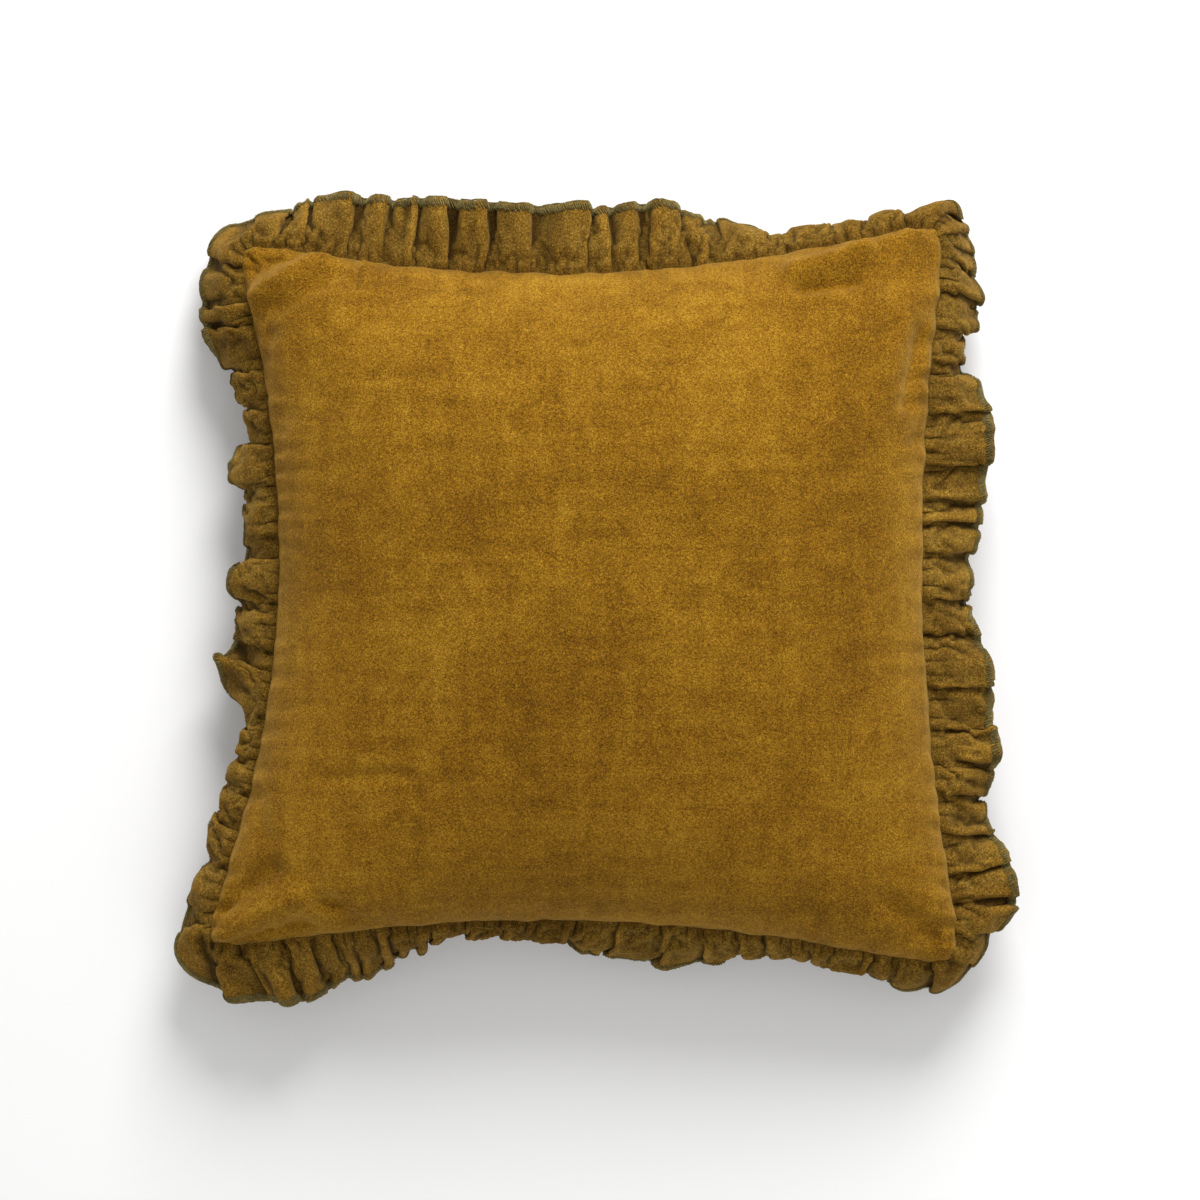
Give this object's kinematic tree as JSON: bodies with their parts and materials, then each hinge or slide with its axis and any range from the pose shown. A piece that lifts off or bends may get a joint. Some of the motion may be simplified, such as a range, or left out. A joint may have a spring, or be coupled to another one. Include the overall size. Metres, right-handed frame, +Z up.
{
  "type": "throw pillow",
  "caption": "Square velvet throw pillow with a gathered ruffle sewn into its edge, an overlocked hem, a back zip and a removable stuffed pad.",
  "frame": {"origin": "on the floor, under the middle of the cushion lying on its back", "axes": "+Z up out of the front face, +X to the cushion's right, +Y to its top edge"},
  "size_m": [0.4978, 0.4978, 0.142],
  "materials": {
    "velvet": "cotton velvet pile, ochre",
    "edge_thread": "overlocked thread, dark olive",
    "sewing_thread": "polyester sewing thread, ochre",
    "zip_tape": "woven polyester tape",
    "zip_coil": "nylon coil",
    "zip_metal": "antique brass plated",
    "pad_cotton": "plain white cotton",
    "pad_thread": "white sewing thread",
    "pad_filling": "polyester fibre"
  },
  "bodies": {
    "cushion": {"front_panel": "velvet", "back_panel_upper": "velvet", "back_panel_lower": "velvet", "ruffle_top": "velvet", "ruffle_right": "velvet", "ruffle_bottom": "velvet", "ruffle_left": "velvet", "ruffle_edge_thread_top": "edge_thread", "ruffle_edge_thread_right": "edge_thread", "ruffle_edge_thread_bottom": "edge_thread", "ruffle_edge_thread_left": "edge_thread", "closing_seam_thread": "sewing_thread", "allowance_overlock_thread": "sewing_thread", "zip_stitching": "sewing_thread", "zip_tape_upper": "zip_tape", "zip_tape_lower": "zip_tape", "zip_coil_upper": "zip_coil", "zip_coil_lower": "zip_coil", "zip_top_stops": "zip_metal", "zip_bottom_stop": "zip_metal", "pad_casing_front": "pad_cotton", "pad_casing_back": "pad_cotton", "pad_seam_thread": "pad_thread", "pad_filling": "pad_filling"},
    "slider": {"zip_slider": "zip_metal"},
    "pull": {"zip_pull": "zip_metal"}
  },
  "joints": [
    {"name": "zip_travel", "type": "slide", "parent": "cushion", "child": "slider", "axis": [-1, 0, 0], "range_m": [0, 0.254]},
    {"name": "pull_flip", "type": "hinge", "parent": "slider", "child": "pull", "pos_m": [0.127, -0.18508, 0.02837], "axis": [0, -0.617, 0.787], "range_deg": [-80, 80]}
  ]
}
